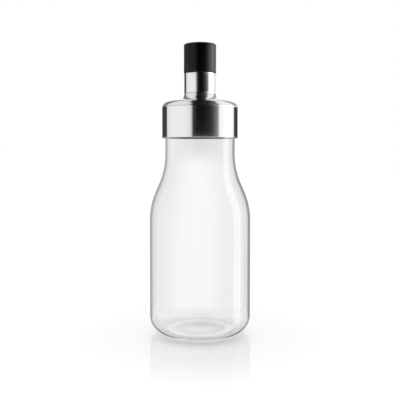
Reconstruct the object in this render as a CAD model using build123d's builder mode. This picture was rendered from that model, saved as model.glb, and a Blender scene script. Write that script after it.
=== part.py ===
from build123d import *
import math
import os

# A salad dressing shaker bottle. A blown glass bottle with a narrowed wide neck carries a screw
# lid: a drawn steel shell with a pouring spout, a threaded plastic insert fixed inside it, and a
# pouring tube that stands up out of the spout into a pull-off cap. The bottle stands on Z = 0 and
# its axis is the Z axis. Lengths are in millimetres and angles in degrees.

# Glass bottle
body_radius = 35.0
neck_radius = 24.05
glass_wall = 1.4
base_thickness = 1.8
base_corner_radius = 11.2
foot_ring_width = 5.8
punt_depth = 0.8
shoulder_corner_z = 88.1
shoulder_slope = 23.2
shoulder_bend_share = 0.366
neck_length = 41.54
rim_edge_share = 0.44

# Neck gasket, between the rim and the insert
gasket_thickness = 1.6
gasket_clearance = 0.15

# Threaded insert
thread_room = 0.85
insert_wall = 0.9
insert_setback = 0.8
web_thickness = 2.6
seat_floor_thickness = 1.4
plug_ring_wall = 1.2
plug_ring_depth = 4.1
plug_ring_clearance = 0.4
ring_to_boss_gap = 1.65
moulded_edge_radius = 0.4

# Steel lid shell
steel_wall = 0.6
insert_fit = 0.05
skirt_height = 25.15
lid_corner_radius = 4.5
spout_height = 19.2
spout_fillet_radius = 5.9
sheet_edge_share = 0.3

# Pourer, a tube with a foot flange, a seat for the cap and a drip lip
pourer_bore_radius = 8.3
pourer_wall = 2.0
pourer_fit = 0.1
flange_thickness = 1.2
flange_clearance = 0.2
pourer_foot_radius = 1.5
nozzle_bore_radius = 6.2
nozzle_wall = 1.6
cap_seat_height = 4.2
lip_height = 2.4
lip_flare = 1.2
lip_edge = 0.4

# Pourer seal, a flat ring under the flange
pourer_seal_thickness = 1.0

# Cap
cap_overhang = 0.2
cap_gap = 0.2
cap_height = 19.9
cap_wall = 1.6
cap_top_thickness = 2.0
cap_edge_radius = 0.9
cap_lead_in = 0.4
stud_radius = 2.4
stud_length = 5.0
stud_barb = 0.5
stud_barb_length = 1.4

# Cap ring, an O-ring on the pourer's seat
ring_section_radius = 0.65
ring_fit = 0.05
ring_groove_room = 0.1
seat_clearance = 0.3

# Cap stopper, a soft plug with sealing ribs
stopper_head_thickness = 1.6
stopper_head_clearance = 0.6
stopper_length = 8.0
stopper_rib = 0.5
stopper_rib_thickness = 1.0
stopper_rib_place_shares = (0.52, 0.8)
stopper_fit = 0.05
stopper_seat_gap = 0.3
stud_fit = 0.05

# Shoulder of the bottle: a sloping run that each bend takes the same share of
slope_angle = math.radians(shoulder_slope)
half_slope_tangent = math.tan(slope_angle / 2)
shoulder_narrowing = body_radius - neck_radius
sloping_run = shoulder_narrowing / math.sin(slope_angle)
neck_corner_z = shoulder_corner_z + shoulder_narrowing / math.tan(slope_angle)
shoulder_bend_radius = shoulder_bend_share * sloping_run / half_slope_tangent
rim_z = neck_corner_z + neck_length

# Foot of the bottle: it stands on a flat ring between the round corner and the punt
punt_radius = body_radius - base_corner_radius - foot_ring_width

# Hollow of the bottle, an even wall inside the outline
hollow_body_radius = body_radius - glass_wall
hollow_neck_radius = neck_radius - glass_wall
hollow_corner_shift = glass_wall * half_slope_tangent
floor_crown_z = punt_depth + base_thickness

# Stack of the closed lid on the rim
web_bottom_z = rim_z + gasket_thickness
web_top_z = web_bottom_z + web_thickness
lid_top_z = web_top_z + steel_wall
skirt_bottom_z = lid_top_z - skirt_height
insert_bottom_z = skirt_bottom_z + insert_setback
spout_end_z = lid_top_z + spout_height
cap_bottom_z = spout_end_z + cap_gap
cap_top_z = cap_bottom_z + cap_height

# Radii of the lid, from the neck outwards
insert_inner_radius = neck_radius + thread_room
insert_outer_radius = insert_inner_radius + insert_wall
lid_radius = insert_outer_radius + insert_fit + steel_wall
plug_ring_outer_radius = hollow_neck_radius - plug_ring_clearance
plug_ring_inner_radius = plug_ring_outer_radius - plug_ring_wall

# Seat of the pourer's flange, from the plug ring inwards. The flange reaches past the round
# fillet of the spout, to where the steel is flat and holds it down.
seat_boss_radius = plug_ring_inner_radius - ring_to_boss_gap
seat_pocket_radius = seat_boss_radius - seat_floor_thickness
flange_radius = seat_pocket_radius - flange_clearance
seat_pocket_depth = flange_thickness + pourer_seal_thickness
seat_floor_z = web_top_z - seat_pocket_depth
seat_boss_bottom_z = seat_floor_z - seat_floor_thickness
flange_bottom_z = seat_floor_z + pourer_seal_thickness
flange_top_z = flange_bottom_z + flange_thickness

# Radii of the spout and the cap, from the bore outwards
tube_radius = pourer_bore_radius + pourer_wall
spout_radius = tube_radius + pourer_fit + steel_wall
cap_radius = spout_radius + cap_overhang
cap_bore_radius = cap_radius - cap_wall
cap_ceiling_z = cap_top_z - cap_top_thickness

# The cap's seat on the pourer, with the groove of its ring
cap_seat_radius = cap_bore_radius - seat_clearance
cap_seat_top_z = spout_end_z + cap_seat_height
ring_centre_radius = cap_bore_radius - ring_fit - ring_section_radius
ring_centre_z = (spout_end_z + cap_seat_top_z) / 2
groove_floor_radius = ring_centre_radius - ring_section_radius - ring_fit
groove_half_height = ring_section_radius + ring_groove_room

# The stopper's head hangs under the cap's ceiling and its ribs seal in the nozzle
nozzle_radius = nozzle_bore_radius + nozzle_wall
stopper_head_bottom_z = cap_ceiling_z - stopper_head_thickness
stopper_tip_z = stopper_head_bottom_z - stopper_length
stopper_head_radius = cap_bore_radius - stopper_head_clearance
stopper_rib_radius = nozzle_bore_radius - stopper_fit
stopper_core_radius = stopper_rib_radius - stopper_rib
lip_z = stopper_head_bottom_z - stopper_seat_gap
lip_start_z = lip_z - lip_height
lip_radius = nozzle_radius + lip_flare

os.makedirs("parts", exist_ok=True)

# The bottle is one wall turned about the axis: a shallow punt that lifts the floor inside the
# foot, a round corner, the straight body, two bends with a short slope between them, and the
# straight neck.
with BuildPart() as glass_bottle:
    with BuildSketch(Plane.XZ) as bottle_wall:
        with BuildLine():
            Spline((0, punt_depth), (punt_radius, 0), tangents=[(1, 0), (1, 0)])
            FilletPolyline(
                (punt_radius, 0),
                (body_radius, 0),
                (body_radius, shoulder_corner_z),
                (neck_radius, neck_corner_z),
                (neck_radius, rim_z),
                radius=[base_corner_radius, shoulder_bend_radius, shoulder_bend_radius],
            )
            Line((neck_radius, rim_z), (hollow_neck_radius, rim_z))
            FilletPolyline(
                (hollow_neck_radius, rim_z),
                (hollow_neck_radius, neck_corner_z - hollow_corner_shift),
                (hollow_body_radius, shoulder_corner_z - hollow_corner_shift),
                (hollow_body_radius, base_thickness),
                (punt_radius, base_thickness),
                radius=[
                    shoulder_bend_radius + glass_wall,
                    shoulder_bend_radius - glass_wall,
                    base_corner_radius - glass_wall,
                ],
            )
            Spline((punt_radius, base_thickness), (0, floor_crown_z), tangents=[(-1, 0), (-1, 0)])
            Line((0, floor_crown_z), (0, punt_depth))
        make_face()
        fillet(bottle_wall.vertices().group_by(Axis.Y)[-1], rim_edge_share * glass_wall)
    revolve(axis=Axis.Z)
glass_bottle.part.label = "glass_bottle"
export_step(glass_bottle.part, "parts/glass_bottle.step")

# A flat silicone ring lies on the rim, round the insert's plug ring.
with BuildPart() as neck_gasket:
    with BuildSketch(Plane.XY.offset(rim_z)):
        Circle(insert_inner_radius - gasket_clearance)
        Circle(plug_ring_outer_radius + gasket_clearance, mode=Mode.SUBTRACT)
    extrude(amount=gasket_thickness)
neck_gasket.part.label = "neck_gasket"
export_step(neck_gasket.part, "parts/neck_gasket.step")

# The insert is a moulded cup, upside down. Its skirt takes the neck's thread, its plug ring dips
# into the mouth, and its middle drops into a seat that holds the pourer's flange.
with BuildPart() as thread_insert:
    with BuildSketch(Plane.XY.offset(insert_bottom_z)):
        Circle(insert_outer_radius)
    extrude(amount=web_top_z - insert_bottom_z)
    fillet(thread_insert.edges().sort_by(Axis.Z)[-1], lid_corner_radius - steel_wall)
    with BuildSketch(Plane.XY.offset(insert_bottom_z)):
        Circle(insert_inner_radius)
    extrude(amount=web_bottom_z - insert_bottom_z, mode=Mode.SUBTRACT)
    with BuildSketch(Plane.XY.offset(seat_boss_bottom_z)):
        Circle(seat_boss_radius)
    extrude(amount=web_bottom_z - seat_boss_bottom_z)
    with BuildSketch(Plane.XY.offset(web_bottom_z - plug_ring_depth)):
        Circle(plug_ring_outer_radius)
        Circle(plug_ring_inner_radius, mode=Mode.SUBTRACT)
    extrude(amount=plug_ring_depth)
    with Locations((0, 0, web_top_z)):
        CounterBoreHole(pourer_bore_radius, seat_pocket_radius, seat_pocket_depth)
    plug_tip = thread_insert.edges().filter_by_position(
        Axis.Z, web_bottom_z - plug_ring_depth, web_bottom_z - plug_ring_depth
    )
    fillet(plug_tip, moulded_edge_radius)
    boss_tip = thread_insert.edges().filter_by_position(
        Axis.Z, seat_boss_bottom_z, seat_boss_bottom_z
    )
    fillet(boss_tip, moulded_edge_radius)
    skirt_mouth = thread_insert.edges().filter_by_position(
        Axis.Z, insert_bottom_z, insert_bottom_z
    )
    chamfer(skirt_mouth.sort_by(SortBy.RADIUS)[0], moulded_edge_radius)
thread_insert.part.label = "thread_insert"
export_step(thread_insert.part, "parts/thread_insert.step")

# The shell is one sheet of steel, drawn so that its skirt, its flat top and its spout run into
# each other through a round shoulder and a round fillet.
with BuildPart() as lid_shell:
    with BuildSketch(Plane.XZ) as sheet:
        with BuildLine():
            FilletPolyline(
                (lid_radius, skirt_bottom_z),
                (lid_radius, lid_top_z),
                (spout_radius, lid_top_z),
                (spout_radius, spout_end_z),
                radius=[lid_corner_radius, spout_fillet_radius],
            )
            offset(amount=steel_wall, side=Side.LEFT)
        make_face()
        fillet(sheet.vertices().group_by(Axis.Y)[0], sheet_edge_share * steel_wall)
        fillet(sheet.vertices().group_by(Axis.Y)[-1], sheet_edge_share * steel_wall)
    revolve(axis=Axis.Z)
lid_shell.part.label = "lid_shell"
export_step(lid_shell.part, "parts/lid_shell.step")

# A flat silicone ring lies in the insert's seat, under the pourer's flange.
with BuildPart() as pourer_seal:
    with BuildSketch(Plane.XY.offset(seat_floor_z)):
        Circle(flange_radius)
        Circle(pourer_bore_radius, mode=Mode.SUBTRACT)
    extrude(amount=pourer_seal_thickness)
pourer_seal.part.label = "pourer_seal"
export_step(pourer_seal.part, "parts/pourer_seal.step")

# The pourer lines the steel spout. Its bore narrows towards the nozzle and opens again in a
# trumpet, whose thin edge cuts the stream off so that the last drop doesn't run down.
with BuildPart() as pourer:
    with BuildSketch(Plane.XZ):
        with BuildLine():
            FilletPolyline(
                (nozzle_bore_radius, spout_end_z),
                (pourer_bore_radius, flange_bottom_z),
                (flange_radius, flange_bottom_z),
                (flange_radius, flange_top_z),
                (tube_radius, flange_top_z),
                (tube_radius, spout_end_z),
                (cap_seat_radius, spout_end_z),
                (cap_seat_radius, cap_seat_top_z),
                (nozzle_radius, cap_seat_top_z),
                (nozzle_radius, lip_start_z),
                radius=[0, 0, 0, pourer_foot_radius, 0, 0, 0, 0],
            )
            TangentArc((nozzle_radius, lip_start_z), (lip_radius, lip_z - lip_edge), tangent=(0, 1))
            Line((lip_radius, lip_z - lip_edge), (lip_radius - lip_edge, lip_z))
            TangentArc((nozzle_bore_radius, lip_start_z), (lip_radius - lip_edge, lip_z), tangent=(0, 1))
            Line((nozzle_bore_radius, lip_start_z), (nozzle_bore_radius, spout_end_z))
        make_face()
    revolve(axis=Axis.Z)
    with BuildSketch(Plane.XZ):
        with Locations((cap_seat_radius, ring_centre_z)):
            Rectangle(2 * (cap_seat_radius - groove_floor_radius), 2 * groove_half_height)
    revolve(axis=Axis.Z, mode=Mode.SUBTRACT)
pourer.part.label = "pourer"
export_step(pourer.part, "parts/pourer.step")

# The O-ring stands a little proud of the seat, and the cap's bore slides on it.
with BuildPart() as cap_ring:
    with BuildSketch(Plane.XZ):
        with Locations((ring_centre_radius, ring_centre_z)):
            Circle(ring_section_radius)
    revolve(axis=Axis.Z)
cap_ring.part.label = "cap_ring"
export_step(cap_ring.part, "parts/cap_ring.step")

# The cap is a plain moulded cup, upside down, with a barbed stud that holds the stopper.
with BuildPart() as cap_shell:
    with BuildSketch(Plane.XY.offset(cap_bottom_z)):
        Circle(cap_radius)
    extrude(amount=cap_height)
    fillet(cap_shell.edges().sort_by(Axis.Z)[-1], cap_edge_radius)
    with BuildSketch(Plane.XY.offset(cap_bottom_z)):
        Circle(cap_bore_radius)
    extrude(amount=cap_ceiling_z - cap_bottom_z, mode=Mode.SUBTRACT)
    chamfer(cap_shell.edges().group_by(Axis.Z)[0].sort_by(SortBy.RADIUS)[0], cap_lead_in)
    with BuildSketch(Plane.XY.offset(cap_ceiling_z - stud_length)):
        Circle(stud_radius)
    extrude(amount=stud_length)
    with BuildSketch(Plane.XY.offset(cap_ceiling_z - stud_length)):
        Circle(stud_radius + stud_barb)
    extrude(amount=stud_barb_length)
cap_shell.part.label = "cap_shell"
export_step(cap_shell.part, "parts/cap_shell.step")

# The stopper's head fills the cap's ceiling, its socket snaps over the stud, and two ribs round
# its core seal the nozzle.
with BuildPart() as cap_stopper:
    with BuildSketch(Plane.XY.offset(stopper_head_bottom_z)):
        Circle(stopper_head_radius)
    extrude(amount=stopper_head_thickness)
    with BuildSketch(Plane.XY.offset(stopper_tip_z)):
        Circle(stopper_core_radius)
    extrude(amount=stopper_length)
    fillet(cap_stopper.edges().group_by(Axis.Z)[0], stopper_rib)
    for place_share in stopper_rib_place_shares:
        rib_z = stopper_head_bottom_z - place_share * stopper_length
        with BuildSketch(Plane.XY.offset(rib_z)):
            Circle(stopper_rib_radius)
        extrude(amount=stopper_rib_thickness)
    socket_bottom_z = cap_ceiling_z - stud_length - stud_fit
    with BuildSketch(Plane.XY.offset(socket_bottom_z)):
        Circle(stud_radius + stud_fit)
    extrude(amount=cap_ceiling_z - socket_bottom_z, mode=Mode.SUBTRACT)
    with BuildSketch(Plane.XY.offset(socket_bottom_z)):
        Circle(stud_radius + stud_barb + stud_fit)
    extrude(amount=stud_barb_length + 2 * stud_fit, mode=Mode.SUBTRACT)
cap_stopper.part.label = "cap_stopper"
export_step(cap_stopper.part, "parts/cap_stopper.step")
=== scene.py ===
import bpy
import math
import numpy as np
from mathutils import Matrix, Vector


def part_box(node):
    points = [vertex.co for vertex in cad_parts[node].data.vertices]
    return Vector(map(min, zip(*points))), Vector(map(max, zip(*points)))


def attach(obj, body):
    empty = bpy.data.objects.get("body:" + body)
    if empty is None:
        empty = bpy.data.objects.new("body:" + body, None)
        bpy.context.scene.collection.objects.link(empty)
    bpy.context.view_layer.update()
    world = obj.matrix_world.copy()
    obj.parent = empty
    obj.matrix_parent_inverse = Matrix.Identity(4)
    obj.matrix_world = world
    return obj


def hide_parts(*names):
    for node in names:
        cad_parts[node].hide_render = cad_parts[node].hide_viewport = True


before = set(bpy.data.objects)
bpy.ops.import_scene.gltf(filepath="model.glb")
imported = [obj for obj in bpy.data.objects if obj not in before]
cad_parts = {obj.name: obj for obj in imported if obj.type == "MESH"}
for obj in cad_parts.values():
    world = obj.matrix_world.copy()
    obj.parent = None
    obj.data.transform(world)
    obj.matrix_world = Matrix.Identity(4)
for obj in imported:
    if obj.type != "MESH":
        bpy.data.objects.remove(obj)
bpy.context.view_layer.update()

MM = 0.001

# Camera
# It stands in front of the bottle a little below the lid and tips down slightly. A small lens
# shift takes up the rest, so that the sides of the bottle stay nearly parallel.
LENS = 54.98
SENSOR_WIDTH = 36.0
PICTURE_WIDTH = 400
SHIFT_ROWS = 17
CAMERA_DISTANCE = 425.5 * MM
CAMERA_HEIGHT = 122.9 * MM
CAMERA_PITCH = math.radians(2.586)
NEAREST_SEEN = 0.01
FURTHEST_SEEN = 50.0

camera_data = bpy.data.cameras.new("camera")
camera_data.lens = LENS
camera_data.sensor_width = SENSOR_WIDTH
camera_data.shift_y = -SHIFT_ROWS / PICTURE_WIDTH
camera_data.clip_start = NEAREST_SEEN
camera_data.clip_end = FURTHEST_SEEN
camera = bpy.data.objects.new("camera", camera_data)
camera.location = (0.0, -CAMERA_DISTANCE, CAMERA_HEIGHT)
camera.rotation_euler = (math.pi / 2 - CAMERA_PITCH, 0.0, 0.0)
bpy.context.collection.objects.link(camera)
bpy.context.scene.camera = camera
bpy.context.scene.view_settings.view_transform = "Standard"

# Studio light
# The world is a white tent. Polished surfaces see what stands in the tent: a pale card on the left,
# a strip light on the right, and black flags. Rays that pass through the glass see its pale end.

# Each wall is a row of (bearing in degrees, grey). Its rise gives the two heights between which it
# takes over from the wall below, as sines of the angle over the horizon.
# Low down, black flags stand on both sides.
LOW_RISE = (0.012, 0.03)
LOW_WALL = (
    (-180, 1.00),
    (-161, 1.00),
    (-157, 0.07),
    (-119, 0.05),
    (-114, 0.90),
    (-95, 1.06),
    (-50, 1.07),
    (-31, 0.95),
    (-26, 0.75),
    (-21, 0.09),
    (-16, 0.03),
    (-8, 0.009),
    (4, 0.008),
    (16, 0.014),
    (30, 0.03),
    (38, 0.07),
    (44, 0.14),
    (50, 0.24),
    (56, 0.40),
    (59, 1.10),
    (78, 1.30),
    (82, 2.40),
    (104, 2.40),
    (108, 1.30),
    (119, 1.10),
    (124, 0.10),
    (130, 0.05),
    (154, 0.05),
    (158, 1.00),
    (180, 1.00),
)
# Higher up the right flag ends.
MIDDLE_RISE = (0.085, 0.1)
MIDDLE_WALL = (
    (-180, 1.00),
    (-161, 1.00),
    (-157, 0.07),
    (-124, 0.05),
    (-116, 0.85),
    (-100, 0.98),
    (-66, 1.08),
    (-41, 1.02),
    (-33, 0.92),
    (-27, 0.50),
    (-20, 0.10),
    (-12, 0.025),
    (-4, 0.004),
    (12, 0.006),
    (20, 0.010),
    (28, 0.022),
    (36, 0.045),
    (44, 0.08),
    (52, 0.15),
    (58, 0.28),
    (62, 0.58),
    (66, 1.10),
    (78, 1.30),
    (82, 2.40),
    (104, 2.40),
    (108, 1.30),
    (120, 1.20),
    (132, 0.95),
    (156, 0.85),
    (160, 1.00),
    (180, 1.00),
)
# A narrow band of the tent is what the satin cap mirrors. The clear glass doesn't see it, and on the
# steel's bends it's a fine line.
CAP_BAND_RISE = (0.135, 0.14)
CAP_BAND = (
    (-180, 1.00),
    (-161, 1.00),
    (-154, 0.30),
    (-120, 0.30),
    (-100, 0.15),
    (-74, 0.12),
    (-49, 0.07),
    (-33, 0.03),
    (-20, 0.006),
    (-10, 0.001),
    (20, 0.002),
    (33, 0.15),
    (48, 1.00),
    (57, 2.00),
    (65, 3.20),
    (83, 5.20),
    (97, 6.00),
    (108, 5.20),
    (118, 3.00),
    (131, 1.20),
    (154, 0.40),
    (161, 1.00),
    (180, 1.00),
)
# Near the top the side flags are grey, and the front flag leans back over the bottle.
LEAN = 0.60
LEAN_CURVE = 6.0
TOP_RISE = (0.188, 0.196)
TOP_WALL = (
    (-180, 1.00),
    (-161, 1.00),
    (-157, 0.25),
    (-124, 0.25),
    (-118, 0.86),
    (-95, 0.94),
    (-50, 0.92),
    (-35, 0.78),
    (-29, 0.54),
    (-25, 0.10),
    (-21, 0.04),
    (-16, 0.018),
    (-8, 0.012),
    (4, 0.014),
    (16, 0.025),
    (30, 0.045),
    (38, 0.10),
    (51, 0.18),
    (55, 0.30),
    (59, 0.55),
    (62, 0.90),
    (78, 1.10),
    (96, 1.10),
    (118, 1.05),
    (126, 0.45),
    (150, 0.40),
    (156, 1.00),
    (180, 1.00),
)
# Below the horizon stand pale sides, a strip light, and greyer ends behind the bottle, which draw its
# outline. The clear glass mirrors this wall at every height.
TABLE_WALL = (
    (-180, 0.50),
    (-152, 0.45),
    (-138, 0.85),
    (-60, 0.85),
    (0, 0.80),
    (60, 0.80),
    (78, 0.70),
    (83, 3.00),
    (102, 3.00),
    (108, 0.80),
    (138, 0.80),
    (152, 0.35),
    (180, 0.40),
)
# What is mirrored inside the glass, and the pale end of the tent behind it at three heights
GLASS_INSIDE = (
    (-180, 0.45),
    (-146, 0.40),
    (-136, 0.85),
    (136, 0.85),
    (146, 0.28),
    (180, 0.35),
)
PALE_END_HIGH_RISE = (-0.02, 0.014)
PALE_END_HIGH = (
    (-180, 0.72),
    (-177, 0.78),
    (-172, 0.84),
    (-60, 0.84),
    (60, 0.84),
    (172, 0.84),
    (177, 0.76),
    (180, 0.72),
)
PALE_END_MIDDLE_RISE = (-0.17, -0.05)
PALE_END_MIDDLE = (
    (-180, 0.97),
    (-178, 0.95),
    (-175, 0.835),
    (-169, 0.785),
    (-60, 0.78),
    (60, 0.78),
    (169, 0.81),
    (175, 0.86),
    (178, 0.92),
    (180, 0.97),
)
PALE_END_LOW = (
    (-180, 0.95),
    (-177.4, 0.95),
    (-176, 0.875),
    (-174, 0.845),
    (-169, 0.80),
    (-60, 0.80),
    (60, 0.80),
    (169, 0.80),
    (174, 0.845),
    (177.2, 0.875),
    (178.2, 0.945),
    (180, 0.95),
)
# Matt surfaces get more of their light from behind, so the bottle's shade falls to the front.
LIGHT_FROM_BEHIND = 0.8


def wall_colours(tree, bearing, wall):
    """Grey of a wall of the tent at a bearing, which is 0 to 1 for -180 to 180 degrees.

    The grey runs straight from each of the wall's stops to the next.
    """
    ramp = tree.nodes.new("ShaderNodeValToRGB")
    ramp.color_ramp.interpolation = "LINEAR"
    stops = ramp.color_ramp.elements
    while len(stops) < len(wall):
        stops.new(0.5)
    for stop, (degrees, grey) in zip(stops, wall):
        stop.position = (degrees + 180) / 360
        stop.color = (grey, grey, grey, 1.0)
    tree.links.new(bearing, ramp.inputs["Fac"])
    return ramp.outputs["Color"]


def math_node(tree, operation, *values):
    """One Math node, with each value a number or the socket that feeds it."""
    node = tree.nodes.new("ShaderNodeMath")
    node.operation = operation
    for socket, value in zip(node.inputs, values):
        if isinstance(value, (int, float)):
            socket.default_value = value
        else:
            tree.links.new(value, socket)
    return node.outputs[0]


def rise(tree, value, start, end):
    """0 where the value is at start or before it, 1 at end or past it, and a straight rise between."""
    span = end - start
    share = math_node(tree, "MULTIPLY_ADD", value, 1 / span, -start / span)
    return math_node(tree, "MINIMUM", math_node(tree, "MAXIMUM", share, 0.0), 1.0)


def mix_colours(tree, factor, first, second):
    """First colour at factor 0 and second at factor 1, each a grey number or the socket that feeds it."""
    node = tree.nodes.new("ShaderNodeMix")
    node.data_type = "RGBA"
    tree.links.new(factor, node.inputs["Factor"])
    first_colour, second_colour = [socket for socket in node.inputs if socket.type == "RGBA"]
    for socket, value in ((first_colour, first), (second_colour, second)):
        if isinstance(value, (int, float)):
            socket.default_value = (value, value, value, 1.0)
        else:
            tree.links.new(value, socket)
    return next(socket for socket in node.outputs if socket.type == "RGBA")


world = bpy.data.worlds.new("studio")
world.use_nodes = True
tent = world.node_tree
tent.nodes.clear()
direction = tent.nodes.new("ShaderNodeTexCoord")
parts = tent.nodes.new("ShaderNodeSeparateXYZ")
tent.links.new(direction.outputs["Generated"], parts.inputs[0])
right, back, up = parts.outputs
over_horizon = math_node(tent, "MAXIMUM", up, 0.0)
leant = math_node(tent, "MULTIPLY", math_node(tent, "POWER", over_horizon, LEAN_CURVE), LEAN)
bearing = math_node(tent, "ARCTAN2", right, math_node(tent, "SUBTRACT", leant, back))
bearing = math_node(tent, "MULTIPLY_ADD", bearing, 0.5 / math.pi, 0.5)
path = tent.nodes.new("ShaderNodeLightPath")

# A ray that the clear glass mirrors is a singular ray. It counts as level, so it sees TABLE_WALL.
seen_softly = math_node(tent, "SUBTRACT", 1.0, path.outputs["Is Singular Ray"])
high = math_node(tent, "MULTIPLY", up, seen_softly)
walls = wall_colours(tent, bearing, TABLE_WALL)
for wall, heights in (
    (LOW_WALL, LOW_RISE),
    (MIDDLE_WALL, MIDDLE_RISE),
    (CAP_BAND, CAP_BAND_RISE),
    (TOP_WALL, TOP_RISE),
):
    walls = mix_colours(tent, rise(tent, high, *heights), walls, wall_colours(tent, bearing, wall))
pale_end = wall_colours(tent, bearing, PALE_END_LOW)
for wall, heights in (
    (PALE_END_MIDDLE, PALE_END_MIDDLE_RISE),
    (PALE_END_HIGH, PALE_END_HIGH_RISE),
):
    pale_end = mix_colours(tent, rise(tent, up, *heights), pale_end, wall_colours(tent, bearing, wall))
mirrored = math_node(tent, "GREATER_THAN", path.outputs["Glossy Depth"], 0.5)
in_glass = mix_colours(tent, mirrored, pale_end, wall_colours(tent, bearing, GLASS_INSIDE))
through = math_node(tent, "GREATER_THAN", path.outputs["Transmission Depth"], 0.5)
seen = mix_colours(tent, through, walls, in_glass)
seen = mix_colours(tent, path.outputs["Is Camera Ray"], seen, 1.0)
lit = math_node(tent, "GREATER_THAN", path.outputs["Diffuse Depth"], 0.5)
from_behind = math_node(tent, "MULTIPLY_ADD", back, LIGHT_FROM_BEHIND, 1.0)
seen = mix_colours(tent, lit, seen, from_behind)
tent_light = tent.nodes.new("ShaderNodeBackground")
tent.links.new(seen, tent_light.inputs["Color"])
tent_out = tent.nodes.new("ShaderNodeOutputWorld")
tent.links.new(tent_light.outputs[0], tent_out.inputs["Surface"])
bpy.context.scene.world = world

# Floor
# A wide pale table top. It keeps the soft shadow of the bottle, and its own colour is lifted to white
# for what looks at it. Right under the bottle, where it's seen through the glass, it glows a little more
# as painted light.
# Mirrored and refracted rays see it close to the bottle only. Its gloss fades out further away.
FLOOR_HALF = 3.0
FLOOR_GREY = 0.80
FLOOR_LIFT = 0.28
PAINTED_LIGHT_IN_GLASS = 0.15
FLOOR_ROUGHNESS = 0.6
FLOOR_GLOSS = 0.24
GLOSS_ROUGHNESS = 0.05
# Distances from the bottle's axis between which the painted light in the glass, the hiding and the gloss
# come in
UNDER_BOTTLE = (36 * MM, 22 * MM)
FAR_OFF = (45 * MM, 65 * MM)
GLOSS_REACH = (122 * MM, 62 * MM)

floor_mesh = bpy.data.meshes.new("floor")
floor_corners = FLOOR_HALF * np.array([(-1, -1, 0), (1, -1, 0), (1, 1, 0), (-1, 1, 0)], float)
floor_mesh.from_pydata(floor_corners.tolist(), [], [(0, 1, 2, 3)])
floor = bpy.data.objects.new("floor", floor_mesh)
bpy.context.collection.objects.link(floor)
floor_paint = bpy.data.materials.new("pale_table")
floor_paint.use_nodes = True
table = floor_paint.node_tree
table.nodes.clear()
table_path = table.nodes.new("ShaderNodeLightPath")
table_top = table.nodes.new("ShaderNodeBsdfPrincipled")
table_top.inputs["Base Color"].default_value = (FLOOR_GREY, FLOOR_GREY, FLOOR_GREY, 1.0)
table_top.inputs["Roughness"].default_value = FLOOR_ROUGHNESS
table_top.inputs["Specular IOR Level"].default_value = 0.0
table_top.inputs["Emission Color"].default_value = (1.0, 1.0, 1.0, 1.0)
looked_at = math_node(table, "LESS_THAN", table_path.outputs["Diffuse Depth"], 0.5)
seen_in_glass = math_node(table, "GREATER_THAN", table_path.outputs["Transmission Depth"], 0.5)
table_place = table.nodes.new("ShaderNodeTexCoord")
from_bottle = table.nodes.new("ShaderNodeVectorMath")
from_bottle.operation = "LENGTH"
table.links.new(table_place.outputs["Object"], from_bottle.inputs[0])
distance = from_bottle.outputs["Value"]
far_off = rise(table, distance, *FAR_OFF)
under_bottle = rise(table, distance, *UNDER_BOTTLE)
# Painted light: the table glows a little more where it's seen through the glass under the bottle.
under_glass = math_node(table, "MULTIPLY", seen_in_glass, under_bottle)
lift = math_node(table, "MULTIPLY_ADD", under_glass, PAINTED_LIGHT_IN_GLASS, FLOOR_LIFT)
table.links.new(math_node(table, "MULTIPLY", looked_at, lift), table_top.inputs["Emission Strength"])
times_bent = [table_path.outputs[name] for name in ("Glossy Depth", "Transmission Depth")]
bent = math_node(table, "GREATER_THAN", math_node(table, "ADD", *times_bent), 0.5)
see_through = table.nodes.new("ShaderNodeBsdfTransparent")
table_mix = table.nodes.new("ShaderNodeMixShader")
hidden = math_node(table, "MULTIPLY", math_node(table, "MULTIPLY", bent, looked_at), far_off)
table.links.new(hidden, table_mix.inputs[0])
table_gloss = table.nodes.new("ShaderNodeBsdfGlossy")
table_gloss.inputs["Roughness"].default_value = GLOSS_ROUGHNESS
gloss_mix = table.nodes.new("ShaderNodeMixShader")
gloss = math_node(table, "MULTIPLY", rise(table, distance, *GLOSS_REACH), FLOOR_GLOSS)
table.links.new(gloss, gloss_mix.inputs[0])
table.links.new(table_top.outputs[0], gloss_mix.inputs[1])
table.links.new(table_gloss.outputs[0], gloss_mix.inputs[2])
table.links.new(gloss_mix.outputs[0], table_mix.inputs[1])
table.links.new(see_through.outputs[0], table_mix.inputs[2])
table_out = table.nodes.new("ShaderNodeOutputMaterial")
table.links.new(table_mix.outputs[0], table_out.inputs["Surface"])
floor_mesh.materials.append(floor_paint)

# Glass bottle
# Blown borosilicate with an even thin wall, round foot and floor that lifts over a shallow punt.
# The neck's thread is a raised bead of a little over one turn, and the rim is fire-polished.
glass_low, glass_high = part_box("glass_bottle")
body_radius = min(-glass_low.x, glass_high.x)
rim_height = glass_high.z
GLASS_WALL = 1.4 * MM
NECK_RADIUS = 24.05 * MM
PUNT_RADIUS = 18.0 * MM
PUNT_DEPTH = 0.8 * MM
FOOT_BEND = 11.2 * MM
BASE_THICKNESS = 1.8 * MM
SHOULDER_HEIGHT = 88.1 * MM
SHOULDER_SLOPE = math.radians(23.2)
SHOULDER_BEND = 49.56 * MM
RIM_BEND = 0.79 * MM
THREAD_LEAD = 3.2 * MM
THREAD_TURNS = 1.3
THREAD_START = 141.8 * MM
THREAD_HEIGHT = 0.70 * MM
THREAD_FOOT = 0.75 * MM
THREAD_CREST = 0.28 * MM
THREAD_RUN_OUT = 0.1
# The mesh has a row every THREAD_ROW from below the thread's start to above its end.
THREAD_ROW = 0.2 * MM
ROWS_BELOW_START = 1.2 * MM
ROWS_ABOVE_START = 5.6 * MM
PUNT_STEPS = 20
SHARP_ANGLE = math.radians(35)
SHOWN_COLUMNS = 256


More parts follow.
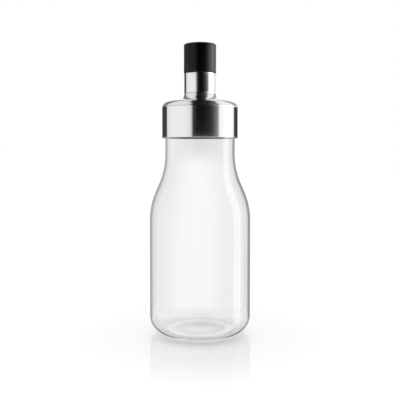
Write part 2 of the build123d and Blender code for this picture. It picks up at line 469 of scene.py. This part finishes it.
def rounded_outline(corners, closed=False):
    """Outline through corners given as (radius, height, bend), as an array of (radius, height).

    A bend is a circular arc that is tangent to both runs: its centre lies on the corner's bisector,
    bend / sin(half the corner's angle) away. A straight run also gets a point just inside each of
    its ends, which keeps smooth shading level along the run.
    """
    fine_bend = 2.0 * MM
    degrees_in_wide_bend = 2.0
    degrees_in_fine_bend = 11.0
    hold = 0.08 * MM
    points = np.array([corner[:2] for corner in corners], float)
    stretches = []
    for index, (radius, height, bend) in enumerate(corners):
        here = points[index]
        if bend == 0:
            stretches.append(here[None])
            continue
        before = points[index - 1] - here
        after = points[(index + 1) % len(points)] - here
        before /= np.linalg.norm(before)
        after /= np.linalg.norm(after)
        half = math.acos(float(before @ after)) / 2
        centre = here + (before + after) / np.linalg.norm(before + after) * bend / math.sin(half)
        start = here + before * bend / math.tan(half) - centre
        end = here + after * bend / math.tan(half) - centre
        sweep = math.pi - 2 * half
        degrees_a_step = degrees_in_wide_bend if bend > fine_bend else degrees_in_fine_bend
        share = np.linspace(0, 1, 3 + int(math.degrees(sweep) / degrees_a_step))[:, None]
        arc = start * np.sin((1 - share) * sweep) + end * np.sin(share * sweep)
        stretches.append(centre + arc / math.sin(sweep))
    joined = []
    for index, stretch in enumerate(stretches):
        joined.append(stretch)
        if index == len(stretches) - 1 and not closed:
            break
        start = stretch[-1]
        run = stretches[(index + 1) % len(stretches)][0] - start
        length = np.linalg.norm(run)
        if length > 5 * hold:
            near = np.array([hold / length, 1 - hold / length])[:, None]
            joined.append(start + near * run)
    return np.concatenate(joined)


def turned(name, outline, closed=False, around=192, swell=None):
    """Mesh object of an outline turned about the Z axis, with as many columns as around says.

    At the angle a, a point (radius, height) lies at (radius cos a, radius sin a, height). swell may
    add to the radius as a function of radius, height and angle. An outline that isn't closed starts
    and ends on the axis, and its ends become single points.
    """
    ahead = np.roll(outline, -1, axis=0)
    area = np.sum(outline[:, 0] * ahead[:, 1] - ahead[:, 0] * outline[:, 1])
    if area < 0:
        outline = outline[::-1]
    angle = np.linspace(0, 2 * np.pi, around, endpoint=False)[None, :]
    radius = outline[:, 0:1] + 0 * angle
    height = outline[:, 1:2] + 0 * angle
    if swell is not None:
        radius = radius + swell(radius, height, angle)
    grid = np.stack([radius * np.cos(angle), radius * np.sin(angle), height], axis=-1)
    rows = len(outline)
    column = np.arange(around)
    beside = (column + 1) % around
    if closed:
        row = np.arange(rows)[:, None] * around
        above = (np.arange(rows)[:, None] + 1) % rows * around
        points = grid.reshape(-1, 3)
        caps = []
    else:
        row = np.arange(rows - 3)[:, None] * around
        above = row + around
        points = np.concatenate([grid[1:-1].reshape(-1, 3), grid[0, :1], grid[-1, :1]])
        first = len(points) - 2
        last_row = (rows - 3) * around
        caps = np.stack([beside, column, 0 * column + first], axis=1).tolist()
        caps += np.stack([last_row + column, last_row + beside, 0 * column + first + 1], axis=1).tolist()
    walls = np.stack([row + column, row + beside, above + beside, above + column], axis=-1)
    mesh = bpy.data.meshes.new(name)
    mesh.from_pydata(points.tolist(), [], walls.reshape(-1, 4).tolist() + caps)
    mesh.shade_smooth()
    mesh.set_sharp_from_angle(angle=SHARP_ANGLE)
    piece = bpy.data.objects.new(name, mesh)
    bpy.context.collection.objects.link(piece)
    return piece


def thread_ridge(height, angle, start):
    """Height of the thread above its wall: one bead that climbs THREAD_LEAD in each turn.

    Across the bead it is level out to THREAD_CREST from the middle and falls to nothing at
    THREAD_FOOT. It rises from nothing and falls again along THREAD_RUN_OUT of a turn.
    """
    ridge = 0.0 * height * angle
    for turn in (0, 1):
        turns_in = angle / (2 * np.pi) + turn
        off_middle = np.abs(height - start - THREAD_LEAD * turns_in)
        across = np.clip((THREAD_FOOT - off_middle) / (THREAD_FOOT - THREAD_CREST), 0, 1)
        along = np.clip(np.minimum(turns_in, THREAD_TURNS - turns_in) / THREAD_RUN_OUT, 0, 1)
        across = across * across * (3 - 2 * across)
        along = along * along * (3 - 2 * along)
        ridge = np.maximum(ridge, across * along)
    return THREAD_HEIGHT * ridge


hollow_radius = body_radius - GLASS_WALL
hollow_neck = NECK_RADIUS - GLASS_WALL
neck_height = SHOULDER_HEIGHT + (body_radius - NECK_RADIUS) / math.tan(SHOULDER_SLOPE)
hollow_drop = GLASS_WALL * math.tan(SHOULDER_SLOPE / 2)
thread_rows = np.arange(THREAD_START - ROWS_BELOW_START, THREAD_START + ROWS_ABOVE_START, THREAD_ROW)
punt = [
    (PUNT_RADIUS * share, PUNT_DEPTH * (1 + math.cos(math.pi * share)) / 2, 0)
    for share in np.linspace(0, 1, PUNT_STEPS)
]
raised_floor = [(reach, lift + BASE_THICKNESS, 0) for reach, lift, _ in punt[::-1]]
bottle_corners = [
    *punt,
    (body_radius, 0, FOOT_BEND),
    (body_radius, SHOULDER_HEIGHT, SHOULDER_BEND),
    (NECK_RADIUS, neck_height, SHOULDER_BEND),
    *[(NECK_RADIUS, height, 0) for height in thread_rows],
    (NECK_RADIUS, rim_height, RIM_BEND),
    (hollow_neck, rim_height, RIM_BEND),
    (hollow_neck, neck_height - hollow_drop, SHOULDER_BEND + GLASS_WALL),
    (hollow_radius, SHOULDER_HEIGHT - hollow_drop, SHOULDER_BEND - GLASS_WALL),
    (hollow_radius, BASE_THICKNESS, FOOT_BEND - GLASS_WALL),
    *raised_floor,
]


def neck_thread(radius, height, angle):
    """Thread of the neck, on the outer wall only."""
    outer = np.abs(radius - NECK_RADIUS) < GLASS_WALL / 2
    return np.where(outer, thread_ridge(height, angle, THREAD_START), 0)


bottle_outline = rounded_outline(bottle_corners)
glass_bottle = turned("glass_bottle_body", bottle_outline, around=SHOWN_COLUMNS, swell=neck_thread)

# Glass focuses the light that falls through it, which the render doesn't follow. Shadow and diffuse
# rays go straight through instead, and each zone of the bottle lets a share of them pass. A pair says
# where a zone takes over: by its reach from the axis, its place towards the front, or its height.
BOROSILICATE_IOR = 1.47
MIDDLE_SHARE = 0.95
RING_SHARE = 0.83
RING_REACH = (9 * MM, 17 * MM)
SIDE_SHARE = 0.90
FRONT_SHARE = 0.25
FRONT_PLACE = (-5 * MM, -25 * MM)
FOOT_HEIGHT = (2.8 * MM, 3.6 * MM)
WALL_SHARE = 0.99
WALL_HEIGHT = (5 * MM, 9 * MM)

# Painted shade: the glass's colour is darkened where the front of its foot turns up from the table,
# which draws the dark line of the contact shade there.
PAINTED_EDGE_SHADE = 0.45
EDGE_REACH = (25 * MM, 26.5 * MM)
EDGE_HEIGHT = (1.6 * MM, 0.9 * MM)
EDGE_PLACE = (-5 * MM, -18 * MM)

clear_glass = bpy.data.materials.new("clear_glass")
clear_glass.use_nodes = True
glass = clear_glass.node_tree
glass_shader = glass.nodes["Principled BSDF"]
glass_shader.inputs["Roughness"].default_value = 0.0
glass_shader.inputs["Transmission Weight"].default_value = 1.0
glass_shader.inputs["IOR"].default_value = BOROSILICATE_IOR
glass_path = glass.nodes.new("ShaderNodeLightPath")
lets_light = glass.nodes.new("ShaderNodeBsdfTransparent")
glass_place = glass.nodes.new("ShaderNodeTexCoord")
glass_parts = glass.nodes.new("ShaderNodeSeparateXYZ")
glass.links.new(glass_place.outputs["Object"], glass_parts.inputs[0])
sideways, forwards, over_table = glass_parts.outputs
squares = [math_node(glass, "MULTIPLY", part, part) for part in (sideways, forwards)]
reach = math_node(glass, "SQRT", math_node(glass, "ADD", *squares))
share = mix_colours(glass, rise(glass, reach, *RING_REACH), MIDDLE_SHARE, RING_SHARE)
foot_share = mix_colours(glass, rise(glass, forwards, *FRONT_PLACE), SIDE_SHARE, FRONT_SHARE)
share = mix_colours(glass, rise(glass, over_table, *FOOT_HEIGHT), share, foot_share)
share = mix_colours(glass, rise(glass, over_table, *WALL_HEIGHT), share, WALL_SHARE)
glass.links.new(share, lets_light.inputs["Color"])
# Painted shade at the front of the foot's edge, which goes into the glass's colour
edge_shade_mask = math_node(
    glass, "MULTIPLY", rise(glass, reach, *EDGE_REACH), rise(glass, over_table, *EDGE_HEIGHT)
)
edge_shade_mask = math_node(glass, "MULTIPLY", edge_shade_mask, rise(glass, forwards, *EDGE_PLACE))
glass.links.new(mix_colours(glass, edge_shade_mask, 1.0, PAINTED_EDGE_SHADE), glass_shader.inputs["Base Color"])
glass_surface = glass_shader.outputs[0]
for ray in ("Is Diffuse Ray", "Is Shadow Ray"):
    glass_mix = glass.nodes.new("ShaderNodeMixShader")
    glass.links.new(glass_path.outputs[ray], glass_mix.inputs[0])
    glass.links.new(glass_surface, glass_mix.inputs[1])
    glass.links.new(lets_light.outputs[0], glass_mix.inputs[2])
    glass_surface = glass_mix.outputs[0]
glass.links.new(glass_surface, glass.nodes["Material Output"].inputs["Surface"])
glass_bottle.data.materials.append(clear_glass)
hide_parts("glass_bottle")
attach(glass_bottle, "bottle")

# Neck gasket
# A flat ring cut from milky silicone. It lies on the rim and seals the closure's web against it.


def surface_grain():
    """Node group that every moulded and polished surface uses.

    Two noises on the piece's own coordinates: a broad one for how evenly the surface is finished,
    and a fine one for its grain. It puts out a roughness and a height.
    """
    group = bpy.data.node_groups.new("surface_grain", "ShaderNodeTree")
    for name in ("Broad Scale", "Fine Scale", "Even Roughness", "Roughness Spread"):
        group.interface.new_socket(name, in_out="INPUT", socket_type="NodeSocketFloat")
    group.interface.new_socket("Stretch", in_out="INPUT", socket_type="NodeSocketVector")
    group.interface.new_socket("Roughness", in_out="OUTPUT", socket_type="NodeSocketFloat")
    group.interface.new_socket("Height", in_out="OUTPUT", socket_type="NodeSocketFloat")
    entry = group.nodes.new("NodeGroupInput")
    leave = group.nodes.new("NodeGroupOutput")
    place = group.nodes.new("ShaderNodeTexCoord")
    stretch = group.nodes.new("ShaderNodeVectorMath")
    stretch.operation = "MULTIPLY"
    group.links.new(place.outputs["Object"], stretch.inputs[0])
    group.links.new(entry.outputs["Stretch"], stretch.inputs[1])
    broad = group.nodes.new("ShaderNodeTexNoise")
    broad.inputs["Detail"].default_value = 3.0
    group.links.new(stretch.outputs[0], broad.inputs["Vector"])
    group.links.new(entry.outputs["Broad Scale"], broad.inputs["Scale"])
    fine = group.nodes.new("ShaderNodeTexNoise")
    fine.inputs["Detail"].default_value = 2.0
    group.links.new(stretch.outputs[0], fine.inputs["Vector"])
    group.links.new(entry.outputs["Fine Scale"], fine.inputs["Scale"])
    off_even = math_node(group, "SUBTRACT", broad.outputs["Fac"], 0.5)
    spread = math_node(group, "MULTIPLY", off_even, entry.outputs["Roughness Spread"])
    rough = math_node(group, "ADD", entry.outputs["Even Roughness"], spread)
    group.links.new(rough, leave.inputs["Roughness"])
    group.links.new(fine.outputs["Fac"], leave.inputs["Height"])
    return group


GRAIN = surface_grain()


def finished_material(name, colour, broad, fine, rough, spread, bump, stretch=(1, 1, 1)):
    """Material with a plain colour and the surface grain in its roughness and its bump.

    broad and fine are the scales of the grain's two noises, rough and spread are the even roughness
    and how far it varies, bump is the height of the fine grain, and stretch flattens it by axis.
    """
    material = bpy.data.materials.new(name)
    material.use_nodes = True
    tree = material.node_tree
    shader = tree.nodes["Principled BSDF"]
    shader.inputs["Base Color"].default_value = (*colour, 1.0)
    grain = tree.nodes.new("ShaderNodeGroup")
    grain.node_tree = GRAIN
    grain.inputs["Broad Scale"].default_value = broad
    grain.inputs["Fine Scale"].default_value = fine
    grain.inputs["Even Roughness"].default_value = rough
    grain.inputs["Roughness Spread"].default_value = spread
    grain.inputs["Stretch"].default_value = stretch
    tree.links.new(grain.outputs["Roughness"], shader.inputs["Roughness"])
    relief = tree.nodes.new("ShaderNodeBump")
    relief.inputs["Strength"].default_value = 1.0
    relief.inputs["Distance"].default_value = bump
    tree.links.new(grain.outputs["Height"], relief.inputs["Height"])
    tree.links.new(relief.outputs["Normal"], shader.inputs["Normal"])
    return material


gasket_low, gasket_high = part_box("neck_gasket")
GASKET_INNER = 22.4 * MM
SILICONE_EDGE = 0.3 * MM
gasket_corners = [
    (GASKET_INNER, gasket_low.z, SILICONE_EDGE),
    (gasket_high.x, gasket_low.z, SILICONE_EDGE),
    (gasket_high.x, gasket_high.z, SILICONE_EDGE),
    (GASKET_INNER, gasket_high.z, SILICONE_EDGE),
]
neck_gasket = turned("neck_gasket_ring", rounded_outline(gasket_corners, closed=True), closed=True)
milky_silicone = finished_material(
    "milky_silicone", (0.72, 0.73, 0.72), broad=90, fine=2600, rough=0.42, spread=0.16, bump=0.02 * MM
)
silicone_shader = milky_silicone.node_tree.nodes["Principled BSDF"]
silicone_shader.inputs["Subsurface Weight"].default_value = 0.3
silicone_shader.inputs["Subsurface Scale"].default_value = 1.5 * MM
neck_gasket.data.materials.append(milky_silicone)
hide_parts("neck_gasket")
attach(neck_gasket, "gasket")

# Threaded insert
# A cup moulded in fine matt black plastic and pressed into the steel. Its skirt has the thread, its
# plug ring dips into the mouth, and its middle drops into a seat for the pourer's flange.
insert_low, insert_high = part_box("thread_insert")
INSERT_WALL = 0.9 * MM
INSERT_TOP_BEND = 3.9 * MM
WEB_THICKNESS = 2.6 * MM
SEAT_RADIUS = 18.0 * MM
SEAT_DEPTH = 2.2 * MM
SEAT_FLOOR = 1.4 * MM
SEAT_HOLE = 8.3 * MM
PLUG_OUTER = 22.25 * MM
PLUG_WALL = 1.2 * MM
PLUG_DEPTH = 4.1 * MM
MOULDED_EDGE = 0.4 * MM
SMALL_EDGE = 0.2 * MM

insert_inner = insert_high.x - INSERT_WALL
web_bottom = insert_high.z - WEB_THICKNESS
seat_floor = insert_high.z - SEAT_DEPTH
seat_bottom = seat_floor - SEAT_FLOOR
insert_rows = thread_rows[::-1] - THREAD_LEAD / 2
insert_corners = [
    (insert_high.x, insert_low.z, SMALL_EDGE),
    (insert_high.x, insert_high.z, INSERT_TOP_BEND),
    (SEAT_RADIUS, insert_high.z, SMALL_EDGE),
    (SEAT_RADIUS, seat_floor, SMALL_EDGE),
    (SEAT_HOLE, seat_floor, SMALL_EDGE),
    (SEAT_HOLE, seat_bottom, SMALL_EDGE),
    (SEAT_RADIUS + SEAT_FLOOR, seat_bottom, MOULDED_EDGE),
    (SEAT_RADIUS + SEAT_FLOOR, web_bottom, SMALL_EDGE),
    (PLUG_OUTER - PLUG_WALL, web_bottom, SMALL_EDGE),
    (PLUG_OUTER - PLUG_WALL, web_bottom - PLUG_DEPTH, MOULDED_EDGE),
    (PLUG_OUTER, web_bottom - PLUG_DEPTH, MOULDED_EDGE),
    (PLUG_OUTER, web_bottom, SMALL_EDGE),
    (insert_inner, web_bottom, SMALL_EDGE),
    *[(insert_inner, height, 0) for height in insert_rows],
    (insert_inner, insert_low.z, MOULDED_EDGE),
]


def insert_thread(radius, height, angle):
    """Thread of the insert, inwards from its skirt, half a lead below the neck's."""
    skirt = np.abs(radius - insert_inner) < INSERT_WALL / 2
    return np.where(skirt, -thread_ridge(height, angle, THREAD_START - THREAD_LEAD / 2), 0)


thread_insert = turned(
    "thread_insert_cup", rounded_outline(insert_corners, closed=True), closed=True, swell=insert_thread
)
matt_plastic = finished_material(
    "fine_matt_plastic", (0.02, 0.02, 0.02), broad=60, fine=1800, rough=0.48, spread=0.12, bump=0.03 * MM
)
thread_insert.data.materials.append(matt_plastic)
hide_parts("thread_insert")
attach(thread_insert, "lid")

# Steel lid shell
# One sheet of stainless steel, deep-drawn: skirt, round shoulder, flat top, round fillet and spout
# tube run into each other. It is mirror-polished, with faint polishing lines round the axis.
shell_low, shell_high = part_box("lid_shell")
STEEL_WALL = 0.6 * MM
STEEL_EDGE = 0.18 * MM
SPOUT_RADIUS = 11.0 * MM
SPOUT_LENGTH = 19.2 * MM
LID_BEND = 4.5 * MM
SPOUT_BEND = 5.9 * MM

lid_radius = shell_high.x
lid_top = shell_high.z - SPOUT_LENGTH
shell_corners = [
    (lid_radius, shell_low.z, STEEL_EDGE),
    (lid_radius, lid_top, LID_BEND),
    (SPOUT_RADIUS, lid_top, SPOUT_BEND),
    (SPOUT_RADIUS, shell_high.z, STEEL_EDGE),
    (SPOUT_RADIUS - STEEL_WALL, shell_high.z, STEEL_EDGE),
    (SPOUT_RADIUS - STEEL_WALL, lid_top - STEEL_WALL, SPOUT_BEND + STEEL_WALL),
    (lid_radius - STEEL_WALL, lid_top - STEEL_WALL, LID_BEND - STEEL_WALL),
    (lid_radius - STEEL_WALL, shell_low.z, STEEL_EDGE),
]
shell_outline = rounded_outline(shell_corners, closed=True)
lid_shell = turned("lid_shell_drawn", shell_outline, closed=True, around=SHOWN_COLUMNS)
polished_steel = finished_material(
    "polished_steel",
    (0.78, 0.78, 0.77),
    broad=25,
    fine=900,
    rough=0.045,
    spread=0.03,
    bump=0.0004 * MM,
    stretch=(1, 1, 14),
)
steel_shader = polished_steel.node_tree.nodes["Principled BSDF"]
steel_shader.inputs["Metallic"].default_value = 1.0
lid_shell.data.materials.append(polished_steel)
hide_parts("lid_shell")
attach(lid_shell, "lid")

# Pourer seal
# A flat silicone ring in the insert's seat, under the pourer's flange.
seal_low, seal_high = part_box("pourer_seal")
seal_corners = [
    (SEAT_HOLE, seal_low.z, SILICONE_EDGE),
    (seal_high.x, seal_low.z, SILICONE_EDGE),
    (seal_high.x, seal_high.z, SILICONE_EDGE),
    (SEAT_HOLE, seal_high.z, SILICONE_EDGE),
]
pourer_seal = turned("pourer_seal_ring", rounded_outline(seal_corners, closed=True), closed=True)
pourer_seal.data.materials.append(milky_silicone)
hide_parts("pourer_seal")
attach(pourer_seal, "lid")

# Pourer
# A moulded tube that lines the steel spout. Above the steel it has the cap's seat with the ring's
# groove, then the nozzle, whose lip opens like a trumpet so that it doesn't drip.
pourer_low, pourer_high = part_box("pourer")
TUBE_RADIUS = 10.3 * MM
TUBE_BORE = 8.3 * MM
FLANGE_THICKNESS = 1.2 * MM
FLANGE_BEND = 1.5 * MM
NOZZLE_BORE = 6.2 * MM
NOZZLE_RADIUS = 7.8 * MM
CAP_SEAT_RADIUS = 9.3 * MM
CAP_SEAT_HEIGHT = 4.2 * MM
LIP_HEIGHT = 2.4 * MM
LIP_FLARE = 1.2 * MM
LIP_EDGE = 0.4 * MM
GROOVE_FLOOR = 8.2 * MM
GROOVE_HALF = 0.75 * MM
FLARE_STEPS = 12

spout_end = shell_high.z
seat_top = spout_end + CAP_SEAT_HEIGHT
groove_middle = (spout_end + seat_top) / 2
lip_start = pourer_high.z - LIP_HEIGHT
flare = np.linspace(0, 1, FLARE_STEPS)
lip_outside = [
    (NOZZLE_RADIUS + LIP_FLARE * up_share**2, lip_start + (LIP_HEIGHT - LIP_EDGE) * up_share, 0)
    for up_share in flare
]
lip_inside = [
    (
        NOZZLE_BORE + (NOZZLE_RADIUS + LIP_FLARE - LIP_EDGE - NOZZLE_BORE) * up_share**2,
        lip_start + LIP_HEIGHT * up_share,
        0,
    )
    for up_share in flare[::-1]
]
pourer_corners = [
    (TUBE_BORE, pourer_low.z, SMALL_EDGE),
    (pourer_high.x, pourer_low.z, SMALL_EDGE),
    (pourer_high.x, pourer_low.z + FLANGE_THICKNESS, SMALL_EDGE),
    (TUBE_RADIUS, pourer_low.z + FLANGE_THICKNESS, FLANGE_BEND),
    (TUBE_RADIUS, spout_end, SMALL_EDGE),
    (CAP_SEAT_RADIUS, spout_end, SMALL_EDGE),
    (CAP_SEAT_RADIUS, groove_middle - GROOVE_HALF, SMALL_EDGE / 2),
    (GROOVE_FLOOR, groove_middle - GROOVE_HALF, SMALL_EDGE / 2),
    (GROOVE_FLOOR, groove_middle + GROOVE_HALF, SMALL_EDGE / 2),
    (CAP_SEAT_RADIUS, groove_middle + GROOVE_HALF, SMALL_EDGE / 2),
    (CAP_SEAT_RADIUS, seat_top, MOULDED_EDGE),
    (NOZZLE_RADIUS, seat_top, MOULDED_EDGE),
    *lip_outside,
    *lip_inside,
    (NOZZLE_BORE, spout_end, 0),
]
pourer = turned("pourer_tube", rounded_outline(pourer_corners, closed=True), closed=True)
pourer.data.materials.append(matt_plastic)
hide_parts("pourer")
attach(pourer, "lid")

# Cap ring
# A black silicone O-ring in the groove of the pourer's seat. The cap slides on it and holds by it.
ring_low, ring_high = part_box("cap_ring")
RING_STEPS = 32

ring_section = (ring_high.z - ring_low.z) / 2
ring_middle = (ring_high.z + ring_low.z) / 2
ring_radius = ring_high.x - ring_section
ring_turn = np.linspace(0, 2 * np.pi, RING_STEPS, endpoint=False)
ring_outline = np.stack(
    [
        ring_radius + ring_section * np.cos(ring_turn),
        ring_middle + ring_section * np.sin(ring_turn),
    ],
    axis=1,
)
cap_ring = turned("cap_ring_round", ring_outline, closed=True)
black_silicone = finished_material(
    "black_silicone", (0.03, 0.03, 0.03), broad=120, fine=2600, rough=0.5, spread=0.12, bump=0.015 * MM
)
cap_ring.data.materials.append(black_silicone)
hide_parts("cap_ring")
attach(cap_ring, "lid")

# Cap
# A cup moulded in satin black plastic. Under its ceiling stands a barbed stud for the stopper.
cap_low, cap_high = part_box("cap_shell")
CAP_WALL = 1.6 * MM
CAP_TOP = 2.0 * MM
CAP_EDGE = 0.9 * MM
CAP_LEAD_IN = 0.4 * MM
STUD_RADIUS = 2.4 * MM
STUD_LENGTH = 5.0 * MM
STUD_BARB = 0.5 * MM
STUD_BARB_LENGTH = 1.4 * MM

cap_radius = cap_high.x
cap_ceiling = cap_high.z - CAP_TOP
stud_end = cap_ceiling - STUD_LENGTH
cap_corners = [
    (0, stud_end, 0),
    (STUD_RADIUS + STUD_BARB, stud_end, SMALL_EDGE),
    (STUD_RADIUS + STUD_BARB, stud_end + STUD_BARB_LENGTH, SMALL_EDGE),
    (STUD_RADIUS, stud_end + STUD_BARB_LENGTH, SMALL_EDGE),
    (STUD_RADIUS, cap_ceiling, SMALL_EDGE),
    (cap_radius - CAP_WALL, cap_ceiling, MOULDED_EDGE),
    (cap_radius - CAP_WALL, cap_low.z, CAP_LEAD_IN),
    (cap_radius, cap_low.z, SMALL_EDGE),
    (cap_radius, cap_high.z, CAP_EDGE),
    (0, cap_high.z, 0),
]
cap_shell = turned("cap_shell_cup", rounded_outline(cap_corners), around=SHOWN_COLUMNS)
satin_plastic = finished_material(
    "satin_plastic",
    (0.0012, 0.0012, 0.0012),
    broad=45,
    fine=2200,
    rough=0.19,
    spread=0.06,
    bump=0.012 * MM,
)
satin_shader = satin_plastic.node_tree.nodes["Principled BSDF"]
satin_shader.inputs["Specular IOR Level"].default_value = 0.3
cap_shell.data.materials.append(satin_plastic)
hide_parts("cap_shell")
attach(cap_shell, "cap")

# Cap stopper
# A soft black plug that snaps over the cap's stud. Two ribs round its core seal the nozzle.
stopper_low, stopper_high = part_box("cap_stopper")
HEAD_THICKNESS = 1.6 * MM
CORE_RADIUS = 5.65 * MM
RIB_RADIUS = 6.15 * MM
RIB_THICKNESS = 1.0 * MM
RIB_DROPS = (6.4 * MM, 4.16 * MM)
STUD_FIT = 0.05 * MM

head_bottom = stopper_high.z - HEAD_THICKNESS
rib_corners = []
for drop in RIB_DROPS:
    rib_bottom = head_bottom - drop
    rib_corners += [
        (CORE_RADIUS, rib_bottom, SMALL_EDGE),
        (RIB_RADIUS, rib_bottom, SMALL_EDGE),
        (RIB_RADIUS, rib_bottom + RIB_THICKNESS, SMALL_EDGE),
        (CORE_RADIUS, rib_bottom + RIB_THICKNESS, SMALL_EDGE),
    ]
stopper_corners = [
    (0, stopper_low.z, 0),
    (CORE_RADIUS, stopper_low.z, SILICONE_EDGE),
    *rib_corners,
    (CORE_RADIUS, head_bottom, SMALL_EDGE),
    (stopper_high.x, head_bottom, SILICONE_EDGE),
    (stopper_high.x, stopper_high.z, SMALL_EDGE),
    (STUD_RADIUS + STUD_FIT, stopper_high.z, SMALL_EDGE),
    (STUD_RADIUS + STUD_FIT, stud_end + STUD_BARB_LENGTH + STUD_FIT, 0),
    (STUD_RADIUS + STUD_BARB + STUD_FIT, stud_end + STUD_BARB_LENGTH + STUD_FIT, 0),
    (STUD_RADIUS + STUD_BARB + STUD_FIT, stud_end - STUD_FIT, 0),
    (0, stud_end - STUD_FIT, 0),
]
cap_stopper = turned("cap_stopper_plug", rounded_outline(stopper_corners))
cap_stopper.data.materials.append(black_silicone)
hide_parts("cap_stopper")
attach(cap_stopper, "cap")
